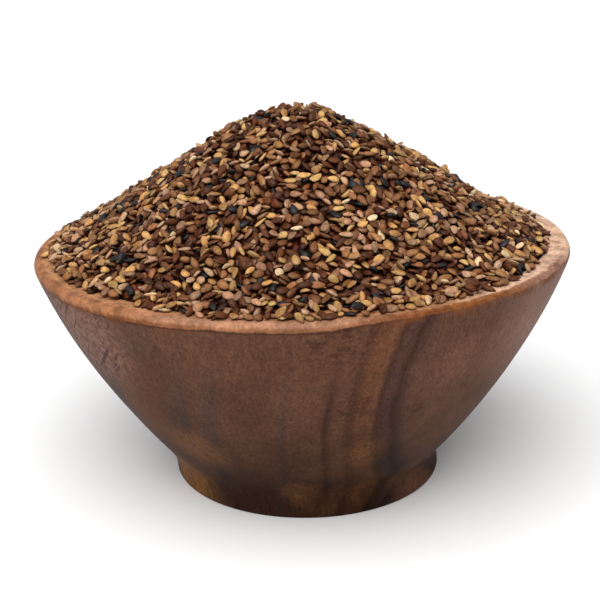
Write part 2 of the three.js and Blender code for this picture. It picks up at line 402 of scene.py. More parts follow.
class NodeSheet:
    """Short words for building a material's nodes."""

    # The place that the patterns read, as a socket
    place = None

    def __init__(self, name):
        self.material = bpy.data.materials.new(name)
        self.material.use_nodes = True
        self.tree = self.material.node_tree
        self.shader = self.tree.nodes["Principled BSDF"]

    def add(self, kind, inputs=None, **settings):
        node = self.tree.nodes.new(kind)
        for key, value in settings.items():
            setattr(node, key, value)
        for key, value in (inputs or {}).items():
            self.feed(node.inputs[key], value)
        return node

    def feed(self, socket, value):
        if isinstance(value, bpy.types.NodeSocket):
            self.tree.links.new(value, socket)
        else:
            socket.default_value = value

    def surface(self, values):
        """Sets or feeds sockets of the shader itself."""
        for name, value in values.items():
            self.feed(self.shader.inputs[name], value)

    def attribute(self, name, output="Fac"):
        return self.add("ShaderNodeAttribute", attribute_name=name).outputs[output]

    def math(self, operation, first, *others):
        """One operation over two or more values, in their order."""
        for other in others:
            first = self.add("ShaderNodeMath", {0: first, 1: other}, operation=operation).outputs[0]
        return first

    def product(self, *factors):
        return self.math("MULTIPLY", *factors)

    def vector_math(self, operation, inputs, output="Vector"):
        return self.add("ShaderNodeVectorMath", inputs, operation=operation).outputs[output]

    def spread(self, value, low, high, to_low=0.0, to_high=1.0):
        """Carries a value smoothly from one range over to another, and holds it there."""
        inputs = {"Value": value, "From Min": low, "From Max": high, "To Min": to_low, "To Max": to_high}
        return self.add("ShaderNodeMapRange", inputs, interpolation_type="SMOOTHSTEP").outputs["Result"]

    def pattern(self, name, place=None):
        """One of the noise patterns, between 0 and 1, at the sheet's place or another."""
        scale, detail, roughness = PATTERNS[name]
        place = self.place if place is None else place
        inputs = {"Vector": place, "Scale": scale, "Detail": detail, "Roughness": roughness}
        return self.add("ShaderNodeTexNoise", inputs).outputs["Fac"]

    def swaying(self, name):
        """One of the noise patterns, moved to sway about 0."""
        return self.math("SUBTRACT", self.pattern(name), 0.5)

    def mapped(self, scale, turn=(0, 0, 0)):
        inputs = {"Vector": self.place, "Scale": scale, "Rotation": turn}
        return self.add("ShaderNodeMapping", inputs).outputs["Vector"]

    def stretched(self, direction, share):
        """The place with its part along a direction shortened, which draws patterns out."""
        along = self.vector_math("DOT_PRODUCT", {0: self.place, 1: direction}, "Value")
        off = self.vector_math("SCALE", {0: direction, "Scale": self.product(along, 1 - share)})
        return self.vector_math("SUBTRACT", {0: self.place, 1: off})

    def mix(self, share, a, b, blend="MIX"):
        node = self.add("ShaderNodeMix", data_type="RGBA", blend_type=blend)
        self.feed(node.inputs["Factor"], share)
        self.feed(node.inputs["A"], rgba(a))
        self.feed(node.inputs["B"], rgba(b))
        return node.outputs["Result"]

    def shade(self, base, value, low, high, darkest, lightest):
        """Multiplies a colour by a grey that goes from darkest to lightest with the value."""
        factor = self.spread(value, low, high, darkest, lightest)
        grey = self.add("ShaderNodeCombineColor", {0: factor, 1: factor, 2: factor}).outputs[0]
        return self.mix(1.0, base, grey, "MULTIPLY")

    def tint(self, base, value, low, high, rgb):
        """Multiplies a colour by another one where the value is low."""
        tinted = self.mix(1.0, base, rgb, "MULTIPLY")
        return self.mix(self.spread(value, low, high, 1.0, 0.0), base, tinted)

    def bump(self, height, strength, distance):
        inputs = {"Height": height, "Strength": strength, "Distance": distance}
        self.surface({"Normal": self.add("ShaderNodeBump", inputs).outputs["Normal"]})


def rgba(value):
    if isinstance(value, bpy.types.NodeSocket):
        return value
    return (*value, 1.0)


def scaled(rgb, factors):
    return tuple(min(1.0, part * factor) for part, factor in zip(rgb, factors))


# ------------------------------------------------------------------------ bowl

def rim_top_height(bowl):
    return bowl.rim_corner_height + bowl.shoulder_rise


def leaned(points, bowl):
    """The body leans to -X over the foot, which stays level, a little off the middle."""
    x, y, z = np.moveaxis(np.asarray(points, float), -1, 0)
    slope = math.sin(bowl.lean)
    sideways = (bowl.rim_corner_height - np.maximum(z, bowl.neck_height)) * slope
    share = np.clip((z - bowl.neck_height) / bowl.lean_start, 0, 1)
    near_neck = np.clip(1 - np.abs(z - bowl.neck_height) / bowl.lean_start, 0, 1)
    return np.stack([x + sideways - bowl.neck_offset * near_neck, y, z + x * slope * share], -1)


def cavity_section(bowl, steps, side_clearance=0.0, floor_clearance=0.0):
    """Superellipse of the cavity as (radius, height) rows, from the rim to the floor."""
    angle = np.linspace(math.pi / 2, 0, steps + 1)
    width = np.sin(angle) ** (2 / bowl.cavity_side_power)
    drop = np.maximum(np.cos(angle), 0) ** (2 / bowl.cavity_depth_power)
    depth = rim_top_height(bowl) - bowl.cavity_floor - floor_clearance
    return np.stack([
        (bowl.cavity_radius - side_clearance) * width,
        rim_top_height(bowl) - depth * drop,
    ], 1)


def quarter_arc(centre, reach_r, reach_z, start, end, steps):
    """An arc of the section as (radius, height) rows, between two angles in degrees."""
    angle = np.radians(np.linspace(start, end, steps + 1))
    return np.stack([centre[0] + reach_r * np.cos(angle), centre[1] + reach_z * np.sin(angle)], 1)


def bowl_section(bowl):
    """Half section of the bowl as (radius, height) rows, from the axis under the foot, up the
    outside, over the rim and down the cavity to the axis."""
    foot_centre = (bowl.foot_radius - bowl.foot_round, bowl.foot_round)
    underside = np.array([[0, 0], [bowl.foot_radius * 0.5, 0]])
    steps = SECTION_STEPS
    foot = quarter_arc(foot_centre, bowl.foot_round, bowl.foot_round, -90, 0, steps["foot"])
    foot_side = np.array([[bowl.foot_radius, bowl.neck_height * share] for share in (0.35, 0.65)])
    # Shares of the wall's height, the first so low that the neck stays a sharp corner
    up = np.concatenate([[0.008], np.linspace(0.05, 1, steps["wall"])])
    wall = np.stack([
        bowl.neck_radius + (bowl.rim_radius - bowl.neck_radius) * up + 4 * bowl.wall_bulge * up * (1 - up),
        bowl.neck_height + (bowl.rim_corner_height - bowl.neck_height) * up,
    ], 1)
    # The wall ends in the widest ring, so the shoulder starts a little above it
    shoulder = quarter_arc(
        (bowl.shoulder_radius, bowl.rim_corner_height),
        bowl.rim_radius - bowl.shoulder_radius, bowl.shoulder_rise,
        SHOULDER_START, 90, steps["shoulder"],
    )
    top = rim_top_height(bowl)
    inner_centre = (bowl.cavity_radius + bowl.inner_round, top - bowl.inner_round)
    inner = quarter_arc(inner_centre, bowl.inner_round, bowl.inner_round, 90, 180, steps["inner"])
    # The cavity's first rows lie in the inner rounding and are left out
    cavity = cavity_section(bowl, steps["cavity"])
    cavity = cavity[cavity[:, 1] < top - 1.5 * bowl.inner_round]
    return np.concatenate([underside, foot, foot_side, wall, shoulder, inner, cavity])


def draw_section(name, section):
    """A chain of edges along the section, drawn by extruding one point."""
    deselect_all()
    bpy.ops.mesh.primitive_plane_add(size=MM, location=(0, 0, 0))
    piece = bpy.context.object
    piece.name = name
    piece.data.name = name
    bpy.ops.object.mode_set(mode="EDIT")
    bpy.ops.mesh.select_all(action="SELECT")
    bpy.ops.mesh.merge(type="CENTER")
    last = np.array([0.0, 0.0])
    for radius, height in section[1:]:
        step = (radius - last[0], 0.0, height - last[1])
        bpy.ops.mesh.extrude_vertices_move(TRANSFORM_OT_translate={"value": step})
        last = np.array([radius, height])
    return piece


def spin_section(piece, steps):
    """Turns the drawn section all the way round Z into a closed surface."""
    bpy.ops.mesh.select_all(action="SELECT")
    bpy.ops.mesh.spin(steps=steps, angle=2 * math.pi, center=(0, 0, 0), axis=(0, 0, 1))
    bpy.ops.mesh.select_all(action="SELECT")
    bpy.ops.mesh.remove_doubles(threshold=0.01 * MM)
    bpy.ops.mesh.normals_make_consistent(inside=False)
    bpy.ops.object.mode_set(mode="OBJECT")
    bpy.ops.object.shade_smooth()
    return piece


def hand_wobble(points):
    """Small unevenness of a hand-finished turning, in metres, along the radius."""
    angle = np.arctan2(points[:, 1], points[:, 0])
    height = points[:, 2] / MM
    return MM * sum(
        np.sin(count * angle + start + turn * height) * depth for count, start, turn, depth in HAND_WAVES
    )


class WoodSheet(NodeSheet):
    """Oiled dark hardwood: growth rings cut by the wall, fibres, pores and a rim paled partly by
    wear and partly by painted sheen. All of it follows the place that a point had before the bowl
    leaned."""

    def __init__(self, bowl):
        super().__init__("oiled_wood")
        self.bowl = bowl
        self.place = self.attribute("turned_place", "Vector")
        axes = self.add("ShaderNodeSeparateXYZ", {"Vector": self.place}).outputs
        self.x, self.y, self.z = axes["X"], axes["Y"], axes["Z"]
        self.fibres = self.pattern("fibres", self.mapped(FIBRE_SCALE, FIBRE_TURN))
        self.grain = self.pattern("grain", self.mapped(PORE_SCALE, FIBRE_TURN))

    def finish(self):
        self.surface({
            "Base Color": self.rim_on(self.marked(self.wall())),
            "Roughness": self.spread(self.grain, 0.3, 0.7, 0.40, 0.56),
            "IOR": 1.09,
        })
        self.bump(self.grain, 0.25, 0.2 * MM)
        return self.material

    def growth_rings(self):
        """Colour by the place across the growth rings of the block, a little wavy."""
        across = self.vector_math("DOT_PRODUCT", {0: self.place, 1: self.bowl.ring_across}, "Value")
        # The rings are counted from the middle of the front wall
        front = np.dot(self.bowl.ring_across, (0, -50 * MM, 30 * MM))
        measured = self.math(
            "ADD", self.math("SUBTRACT", across, front),
            self.product(self.swaying("ring_waves"), 2.2 * MM),
            self.product(self.swaying("ring_ripples"), 1.2 * MM),
        )
        reach = RING_REACH * MM
        share = self.add("ShaderNodeMapRange", {"Value": measured, "From Min": -reach, "From Max": reach})
        ramp = self.add("ShaderNodeValToRGB", {0: share.outputs["Result"]})
        stops = ramp.color_ramp.elements
        while len(stops) < len(GROWTH_RINGS):
            stops.new(1.0)
        for stop, (position, name) in zip(stops, GROWTH_RINGS):
            stop.position = (position / RING_REACH + 1) / 2
            stop.color = rgba(getattr(self.bowl, name))
        return ramp.outputs["Color"]

    def near(self, places):
        """The strength of each of the places around it, falling to 0 at its reach."""
        result = 0.0
        for x, y, z, reach, strength in places:
            centre = (x * MM, y * MM, z * MM)
            away = self.vector_math("DISTANCE", {0: self.place, 1: centre}, "Value")
            around = self.spread(away, 0.3 * reach * MM, reach * MM, strength, 0.0)
            result = self.math("MAXIMUM", result, around)
        return result

    def zone(self, name):
        (x_start, x_full), (z_start, z_full), (weak, strong) = WALL_ZONES[name]
        return self.product(
            self.spread(self.z, z_start * MM, z_full * MM, weak, strong),
            self.spread(self.x, x_start * MM, x_full * MM),
        )

    def wall(self):
        bowl = self.bowl
        # High on the front the rings fade, but for the broad one
        wall = self.mix(self.zone("plain_front"), self.growth_rings(), bowl.wood)
        clouds = self.pattern("clouds")
        low = self.spread(self.z, 4 * MM, 34 * MM, 0.5, 0.0)
        golden = self.product(low, self.spread(clouds, 0.48, 0.64, 0.0, 0.5))
        wall = self.mix(golden, wall, bowl.wood_golden)
        # Painted shade under the rim on the left
        wall = self.mix(self.near(SHADE_UNDER_RIM_PLACES), wall, bowl.wood_dim)
        # Painted shade: the wall darkens towards the table, least at the foot's right side
        shaded_towards_table = self.shade(wall, self.z, 0.0, 46 * MM, 0.30, 1.04)
        wall = self.mix(self.zone("foot_right"), shaded_towards_table, wall)
        # Painted sheen pales the upper right wall
        wall = self.mix(self.zone("sheen_high_right"), wall, bowl.wood_sheen)
        golden = self.product(self.near(GOLDEN_PLACES), self.spread(self.fibres, 0.3, 0.6, 0.5, 1.0))
        wall = self.mix(golden, wall, bowl.wood_golden)
        wall = self.shade(wall, clouds, 0.35, 0.65, 0.86, 1.14)
        wall = self.shade(wall, self.fibres, 0.30, 0.70, 0.82, 1.16)
        return self.shade(wall, self.grain, 0.30, 0.70, 0.74, 1.26)

    def marked(self, wall):
        """Dark smudges where tools and oil have marked the wall, and high on the left a patch of
        painted sheen in pale dots, with a few dark scratches."""
        areas = self.spread(self.pattern("smudge_areas"), 0.58, 0.72)
        areas = self.math("MAXIMUM", areas, self.near(SMUDGED_PLACES))
        marks = self.pattern("smudge_marks", self.mapped(SMUDGE_SCALE))
        smudges = self.product(areas, self.spread(marks, 0.47, 0.60), 0.7)
        wall = self.mix(smudges, wall, self.bowl.wood_streak)

        # Painted sheen: a pale patch in dots high on the left
        patch = self.near([(*self.bowl.sheen_patch_place, 20, 1)])
        sheen_dots = self.spread(self.pattern("sheen_dots"), 0.40, 0.62, 0.1, 0.8)
        wall = self.mix(self.product(patch, sheen_dots), wall, self.bowl.wood_sheen)
        drawn_out = self.stretched(self.bowl.scratch_way, SCRATCH_SCALE)
        scratches = self.spread(self.pattern("scratches", drawn_out), 0.60, 0.67, 0.0, 0.8)
        return self.mix(self.product(patch, scratches), wall, self.bowl.wood_streak)

    def along_rim(self, name):
        start, end, *values = RIM_CHANGES[name]
        return self.spread(self.x, start * MM, end * MM, *values)

    def band(self, height, name):
        start, end, *values = RIM_BANDS[name]
        ring = self.bowl.rim_corner_height
        return self.spread(height, ring + start * MM, ring + end * MM, *values)

    def rim_on(self, wall):
        """Over the wall a thin dark line, a rounded edge that is orange-brown away from the middle of the
        front, where it is paler with a painted highlight, with painted shade low on it at the sides, and a
        paler flat top, partly painted sheen at the right."""
        bowl = self.bowl
        right, left = self.along_rim("right"), self.along_rim("left")

        # The height by which the rim is coloured: its border is ragged, most of all at the
        # left, where it also runs lower, and it runs higher at the right
        unevenness = self.swaying("rim_unevenness")
        raggedness = self.spread(left, 0.0, 0.5, 0.9 * MM, 3.0 * MM)
        height = self.math(
            "ADD", self.z, self.product(unevenness, raggedness), self.product(left, 0.9 * MM)
        )
        height = self.math("SUBTRACT", height, self.along_rim("border_rise"))
        # A thin dark line painted just under the widest ring
        dark_line = self.product(
            self.band(height, "dark_line_bottom"), self.band(height, "dark_line_top"), self.along_rim("dark_line")
        )
        wall = self.mix(dark_line, wall, bowl.wood_streak)

        # The rounded edge, with its colour bled into the wall here and there
        sides = self.math("MAXIMUM", right, self.along_rim("low_left"))
        # The paler front of the rounded edge is partly a painted highlight
        edge = self.mix(self.math("MAXIMUM", right, left), bowl.rim_front, bowl.rim_edge)
        low_edge = self.band(height, "low_edge")
        edge = self.mix(self.product(low_edge, 0.8), edge, bowl.rim_edge)
        # Painted shade: the lower part of the rounded edge darkens at the sides
        edge = self.mix(self.product(sides, low_edge), edge, bowl.rim_low)
        bleeding = self.spread(self.pattern("rim_bleeding"), 0.46, 0.60, 0.0, 0.8)
        wall = self.mix(self.product(sides, self.band(height, "bled"), bleeding), wall, bowl.rim_low)
        back = self.spread(self.y, -27 * MM, -14 * MM)
        # At the far right the edge has its own colour, towards the back the pale one of wear and painted
        # sheen
        edge = self.mix(self.along_rim("far_right"), edge, self.mix(back, bowl.rim_far, bowl.rim_wear_and_sheen))

        # The flat top starts at the shoulder
        level = self.vector_math("MULTIPLY", {0: self.place, 1: (1, 1, 0)})
        radius = self.vector_math("LENGTH", {0: level}, "Value")
        radius = self.math("ADD", radius, self.product(unevenness, 1.4 * MM))
        flat = self.spread(radius, bowl.shoulder_radius + 0.2 * MM, bowl.shoulder_radius - 0.2 * MM)
        # The flat top pales at the right, partly from wear and partly as painted sheen
        rim = self.mix(flat, edge, self.mix(self.along_rim("top_wear_and_sheen"), bowl.rim_top, bowl.rim_wear_and_sheen))
        rim = self.shade(rim, self.grain, 0.30, 0.70, 0.82, 1.18)
        rim = self.shade(rim, self.pattern("rim_clouds"), 0.33, 0.67, 0.70, 1.26)
        rim = self.shade(rim, self.pattern("rim_specks"), 0.35, 0.65, 0.84, 1.16)
        stains = self.spread(self.pattern("rim_stains"), 0.57, 0.70, 0.0, 0.6)
        rim = self.mix(stains, rim, bowl.rim_edge)
        return self.mix(self.band(height, "lip"), wall, rim)


class SESAME_OT_bowl(bpy.types.Operator):
    """Turn the wooden bowl from its half section"""

    bl_idname = "sesame.bowl"
    bl_label = "Turned Bowl"

    def execute(self, context):
        bowl = context.scene.sesame_bowl
        piece = spin_section(draw_section("turned_bowl", bowl_section(bowl)), bowl.turns)
        points = points_of(piece.data)
        point_attribute(piece.data, "turned_place", points, "FLOAT_VECTOR")
        radius = np.hypot(points[:, 0], points[:, 1])
        outward = points[:, :2] / np.maximum(radius, MM)[:, None]
        above_foot = np.clip(points[:, 2] / bowl.neck_height, 0, 1)
        points[:, :2] += outward * (hand_wobble(points) * above_foot)[:, None]
        move_points(piece.data, leaned(points, bowl))
        make_active(piece)
        smooth = piece.modifiers.new("smooth", "SUBSURF")
        smooth.levels = smooth.render_levels = 1
        bpy.ops.object.modifier_apply(modifier=smooth.name)
        settle(piece, BOWL_NODE, WoodSheet(bowl).finish())
        return {"FINISHED"}


# ------------------------------------------------------------------------ heap

def heap_edge_radius(angle):
    """Radius of the heap's edge in a direction, between the two nearest listed ones."""
    count = len(HEAP_EDGE_RADII)
    return np.interp(angle / (2 * math.pi) * count, range(count), HEAP_EDGE_RADII, period=count) * MM


def heap_skin(x, y):
    """Height of the heap's skin at a place of the straight bowl, in metres."""
    radius = np.hypot(x, y)
    to_right = 0.5 + 0.5 * x / np.maximum(radius, 1e-9)
    radii = np.array(HEAP_RADII) * MM
    left = np.interp(radius, radii, np.array(HEAP_LEFT_HEIGHTS) * MM)
    right = np.interp(radius, radii, np.array(HEAP_RIGHT_HEIGHTS) * MM)
    return left + (right - left) * to_right


class HeightMap:
    """Square map of heights on which seeds are laid one by one."""

    def __init__(self, reach, cell):
        self.cell = cell
        self.reach = reach
        axis = np.linspace(-reach, reach, int(round(2 * reach / cell)) + 1)
        self.x, self.y = np.meshgrid(axis, axis, indexing="ij")
        self.height = np.zeros_like(self.x)

    def cells(self, x, y):
        i = np.rint((np.asarray(x) + self.reach) / self.cell).astype(int)
        j = np.rint((np.asarray(y) + self.reach) / self.cell).astype(int)
        return i, j

    def at(self, x, y):
        return self.height[self.cells(x, y)]


def target_skin(x, y, bowl):
    """Height of the leaning heap's skin over a place of the table."""
    slope = math.sin(bowl.lean)
    height = heap_skin(x, y)
    # Where the place lay before the bowl leaned depends on its height, so it is found twice
    for _ in range(2):
        straight_x = x - (bowl.rim_corner_height - height) * slope
        height = heap_skin(straight_x, y)
    return height + straight_x * slope


def bare_map(heap, bowl):
    """The bare core and the rim's flat top, before any seed lies on them."""
    ground = HeightMap(bowl.rim_radius + MAP_MARGIN, heap.cell)
    radius = np.hypot(ground.x, ground.y)
    rim = rim_top_height(bowl) + ground.x * math.sin(bowl.lean)
    core = target_skin(ground.x, ground.y, bowl) - heap.core_depth
    ground.height = np.where(radius < bowl.cavity_radius, core, rim)
    over_edge = radius > bowl.shoulder_radius
    ground.height[over_edge] -= (radius[over_edge] - bowl.shoulder_radius) * EDGE_FALL
    outside = radius > bowl.rim_radius
    ground.height[outside] = rim[outside] - OUTSIDE_DROP
    return ground


class SeedLayer:
    """Lays seeds on a height map: each comes to rest in a hollow, turned to the slope there."""

    # Directions in which a seed may point
    yaw_steps = 36
    # Share of a seed's underside that clears what is under it, while the rest sinks in
    clear_share = 0.80
    # Share of the heap's own slope that a seed keeps, at least and at most
    slope_range = (0.5, 1.05)
    # Along the seed and across it: the steepest that it lies, and the slope added by chance
    steepest = (0.9, 1.0)
    chance_tilt = (0.24, 0.36)
    # Share of the seeds that lie on edge, and the slope added across those
    on_edge_share = 0.22
    on_edge_tilt = 0.9
    # Share of the rounds that go to the very border, so that it is closed, and the share
    # of the heap's area inside it
    border_share = 0.035
    inside_border = 0.93
    # Places where black seeds gather: how many, how far they reach, and what multiplies the
    # share of the black seeds inside and outside them
    dark_count = 46
    dark_reach = 4.5 * MM
    dark_factors = (2.6, 0.6)
    # The pile is measured after each so many seeds, over this share of the cavity's radius
    measured_every = 50
    measured_share = 0.85

    def __init__(self, ground, random, seeds, heap, bowl):
        self.ground = ground
        self.random = random
        self.seeds = seeds
        self.heap = heap
        self.target = target_skin(ground.x, ground.y, bowl)
        self.fall_x, self.fall_y = np.gradient(self.target, ground.cell)
        self.middle = np.hypot(ground.x, ground.y) < self.measured_share * bowl.cavity_radius
        self.footprints = [
            self.footprint(2 * math.pi * step / self.yaw_steps) for step in range(self.yaw_steps)
        ]
        self.dark_places = random.uniform(-1, 1, (self.dark_count, 2)) * bowl.cavity_radius
        self.placed = []

    def footprint(self, yaw):
        """Cells under a level seed: offsets, places along and across it, its half thickness."""
        cell = self.ground.cell
        reach = int(math.ceil(0.55 * self.seeds.long / cell))
        steps = np.arange(-reach, reach + 1)
        i, j = [a.ravel() for a in np.meshgrid(steps, steps, indexing="ij")]
        u = (i * math.cos(yaw) + j * math.sin(yaw)) * cell
        v = (-i * math.sin(yaw) + j * math.cos(yaw)) * cell
        inside = (2 * u / self.seeds.long) ** 2 + (2 * v / self.seeds.wide) ** 2
        # The thin rim of the seed is left out
        under = inside < 0.95
        half = 0.5 * self.seeds.thick * np.sqrt(1 - inside[under])
        return yaw, i[under], j[under], u[under], v[under], half

    def depth_left(self):
        """Mean depth of the pile under the skin, away from the edge."""
        return float((self.target - self.ground.height)[self.middle].mean())

    def random_places(self, count):
        """Places spread evenly over the heap, or in a few of the rounds over its border."""
        angle = self.random.random(count) * 2 * math.pi
        inward = self.inside_border if self.random.random() < self.border_share else 0.0
        radius = heap_edge_radius(angle) * np.sqrt(self.random.uniform(inward, 1, count))
        return radius * np.cos(angle), radius * np.sin(angle)

    def lay(self, x, y, step, kind, keep=True):
        """Lays one seed at the lowest of the given places, in one of the directions."""
        ground = self.ground
        yaw, di, dj, u, v, half = self.footprints[step]
        i0, j0 = ground.cells(x, y)
        height = ground.height[i0[:, None] + di, j0[:, None] + dj]

        # The slope of what is under the seed. Most seeds settle more level than the heap.
        fall_x, fall_y = self.fall_x[i0, j0], self.fall_y[i0, j0]
        levelled = 1 - self.random.uniform(*self.slope_range)
        chance = self.random.normal(size=2) * self.chance_tilt
        if self.random.random() < self.on_edge_share:
            chance[1] += self.random.choice([-1, 1]) * self.on_edge_tilt
        along = height @ u / (u @ u) - levelled * (fall_x * math.cos(yaw) + fall_y * math.sin(yaw))
        over = height @ v / (v @ v) - levelled * (fall_y * math.cos(yaw) - fall_x * math.sin(yaw))
        steep_along, steep_over = self.steepest
        along = np.clip(along, -steep_along, steep_along) + chance[0]
        over = np.clip(over, -steep_over, steep_over) + chance[1]
        plane = along[:, None] * u + over[:, None] * v
        rank = int(self.clear_share * len(u))
        centre = np.partition(height + half - plane, rank, axis=1)[:, rank]

        best = int(np.argmin(centre - self.target[i0, j0]))
        i0, j0, centre = int(i0[best]), int(j0[best]), float(centre[best])
        i, j = i0 + di, j0 + dj
        ground.height[i, j] = np.maximum(ground.height[i, j], centre + plane[best] + half)
        if keep:
            place = (ground.x[i0, j0], ground.y[i0, j0], centre)
            self.placed.append((*place, yaw, float(along[best]), float(over[best]), kind))

    def draw_kind(self, x, y):
        """Kinds by their shares, with more of the black seeds near the dark places."""
        distance = np.hypot(self.dark_places[:, 0] - x, self.dark_places[:, 1] - y).min()
        shares = np.array([share for share, _ in SEED_KINDS.values()])
        within, without = self.dark_factors
        shares[list(SEED_KINDS).index("seeds_black")] *= within if distance < self.dark_reach else without
        drawn = self.random.random() * shares.sum()
        return list(SEED_KINDS)[int(np.searchsorted(np.cumsum(shares), drawn))]

    def fill(self, depth, keep=True):
        """Lays seeds until their tops are only the given depth under the skin."""
        for count in range(self.heap.most_seeds):
            if count % self.measured_every == 0 and self.depth_left() < depth:
                return
            x, y = self.random_places(self.heap.tries)
            step = int(self.random.integers(self.yaw_steps))
            self.lay(x, y, step, self.draw_kind(x[0], y[0]), keep)
        raise RuntimeError("The heap isn't full after its most seeds")


def core_material(seeds):
    """Dark mottled seed hulls, seen in the gaps between the loose seeds, darkened as painted shade."""
    sheet = NodeSheet("deep_seeds")
    sheet.place = sheet.add("ShaderNodeTexCoord").outputs["Object"]
    cells = sheet.add("ShaderNodeTexVoronoi", {"Vector": sheet.place, "Scale": DEEP_CELLS})
    pick = sheet.add("ShaderNodeSeparateColor", {0: cells.outputs["Color"]}).outputs[0]
    # Painted shade: the core has only dark-brown tones, some darker still
    darker = scaled(seeds.dark_brown, (0.6, 0.6, 0.6))
    base = sheet.mix(sheet.spread(pick, 0.3, 0.9), darker, seeds.dark_brown)
    base = sheet.shade(base, sheet.pattern("deep_mottling"), 0.3, 0.7, 0.7, 1.3)
    sheet.surface({"Base Color": base, "Roughness": 0.7, "Specular IOR Level": 0.2})
    sheet.bump(sheet.pattern("deep_bumps"), 0.2, 0.3 * MM)
    return sheet.material


class SESAME_OT_heap(bpy.types.Operator):
    """Lay the seeds of the heap and build its core"""

    bl_idname = "sesame.heap"
    bl_label = "Heap of Seeds"

    def execute(self, context):
        scene = context.scene
        heap, bowl, seeds = scene.sesame_heap, scene.sesame_bowl, scene.sesame_seeds
        random = np.random.default_rng(heap.seed)
        ground = bare_map(heap, bowl)
        layer = SeedLayer(ground, random, seeds, heap, bowl)
        layer.fill(heap.relief_depth, keep=False)
        self.add_core(ground, heap, bowl, seeds)
        layer.fill(heap.skin_depth)
        for direction, distance, yaw, kind in LOOSE_ON_RIM:
            angle = math.radians(direction)
            x, y = distance * MM * math.cos(angle), distance * MM * math.sin(angle)
            step = int(round(yaw / 360 * layer.yaw_steps)) % layer.yaw_steps
            layer.lay(np.array([x]), np.array([y]), step, kind)
        shapes, faces = seed_shapes(random)
        for kind in SEED_KINDS:
            chosen = [p[:6] for p in layer.placed if p[6] == kind]
            self.add_seeds(kind, np.array(chosen), shapes, faces, layer)
        return {"FINISHED"}

    def add_core(self, ground, heap, bowl, seeds):
        """Modelled as a disc of fine squares, lifted to the height map and closed below."""
        reach = bowl.cavity_radius - CORE_CLEARANCE
        steps = int(2 * reach / heap.core_cell)
        deselect_all()
        bpy.ops.mesh.primitive_grid_add(x_subdivisions=steps, y_subdivisions=steps, size=2 * reach)
        piece = bpy.context.object
        piece.name = "heap_core"
        piece.data.name = "heap_core"
        # The grid is pulled into a disc: the nearer the edge, the more its squares turn to circles
        points = points_of(piece.data)
        square = np.abs(points[:, :2]).max(axis=1)
        radius = np.hypot(points[:, 0], points[:, 1])
        pull = np.where(radius > 0, square / np.maximum(radius, 1e-9), 1)
        points[:, :2] *= (1 + (pull - 1) * np.clip(square / reach, 0, 1) ** 2)[:, None]
        points[:, 2] = ground.at(points[:, 0], points[:, 1]) - CORE_SINK
        move_points(piece.data, points)
        make_active(piece)
        self.close_below(piece, bowl)
        bpy.ops.object.shade_smooth()
        settle(piece, HEAP_NODE, core_material(seeds))

    def close_below(self, piece, bowl):
        """Extrudes the disc's edge down along the cavity and closes it at the floor."""
        make_active(piece)
        bpy.ops.object.mode_set(mode="EDIT")
        bpy.ops.mesh.select_mode(type="EDGE")
        bpy.ops.mesh.select_all(action="DESELECT")
        bpy.ops.mesh.select_non_manifold(use_wire=False, use_multi_face=False, use_non_contiguous=False)
        section = cavity_section(bowl, SECTION_STEPS["core"], CORE_CLEARANCE, CORE_CLEARANCE)
        for (wide, high), (narrow, low) in zip(section[:-2], section[1:-1]):
            bpy.ops.mesh.extrude_edges_move(TRANSFORM_OT_translate={"value": (0, 0, low - high)})
            share = narrow / wide
            bpy.ops.transform.resize(value=(share, share, 1), center_override=(0, 0, low))
        bpy.ops.mesh.edge_face_add()
        bpy.ops.mesh.select_mode(type="VERT")
        bpy.ops.mesh.select_all(action="SELECT")
        bpy.ops.mesh.normals_make_consistent(inside=False)
        bpy.ops.object.mode_set(mode="OBJECT")

    def add_seeds(self, kind, placed, shapes, faces, layer):
        """One piece with all seeds of a kind, each in its own size and turned as it was laid."""
        seeds, random = layer.seeds, layer.random
        count = len(placed)
        x, y, z, yaw, along, over = placed.T
        which = random.integers(0, len(shapes), count)
        # No size strays from its mean by more than twice the spread
        spread = 1 + seeds.variety * np.clip(random.normal(size=(count, 3)), -2, 2)
        sizes = np.array([seeds.long, seeds.wide, seeds.thick]) * spread
        local = shapes[which] * sizes[:, None, :]
        # Either end may lead, and either face may lie up
        local[:, :, 0] *= random.choice([-1, 1], count)[:, None]
        local[:, :, 2] *= random.choice([-1, 1], count)[:, None]
        turned = np.einsum("kni,kij->knj", local, seed_axes(yaw, along, over))
        world = turned + np.stack([x, y, z], 1)[:, None, :]

        mesh = joined_mesh(kind, world, faces, count)
        piece = add_piece(kind, mesh)
        per_seed = shapes.shape[1]
        below = layer.target[layer.ground.cells(world[:, :, 0], world[:, :, 1])] - world[:, :, 2]
        length_share, width_share = shapes[which][:, :, 0], shapes[which][:, :, 1]
        point_attribute(mesh, "below_skin", below)
        point_attribute(mesh, "tone", np.repeat(random.random(count), per_seed))
        point_attribute(mesh, "warmth", np.repeat(random.random(count), per_seed))
        point_attribute(mesh, "along", length_share)
        point_attribute(mesh, "edge", np.hypot(length_share, width_share) * 2)
        make_active(piece)
        bpy.ops.object.mode_set(mode="EDIT")
        bpy.ops.mesh.select_all(action="SELECT")
        bpy.ops.mesh.normals_make_consistent(inside=False)
        bpy.ops.object.mode_set(mode="OBJECT")
        rgb = getattr(seeds, SEED_KINDS[kind][1])
        settle(piece, HEAP_NODE, seed_material(kind, rgb, seeds))


def seed_axes(yaw, along, over):
    """Three axes for each seed: along its slope, across it and out of it."""
    up = np.array([0, 0, 1])
    level = np.zeros(len(yaw))
    axis_u = np.stack([np.cos(yaw), np.sin(yaw), level], 1) + up * along[:, None]
    axis_u /= np.linalg.norm(axis_u, axis=1)[:, None]
    slope_v = np.stack([-np.sin(yaw), np.cos(yaw), level], 1) + up * over[:, None]
    axis_w = np.cross(axis_u, slope_v)
    axis_w /= np.linalg.norm(axis_w, axis=1)[:, None]
    return np.stack([axis_u, np.cross(axis_w, axis_u), axis_w], 1)


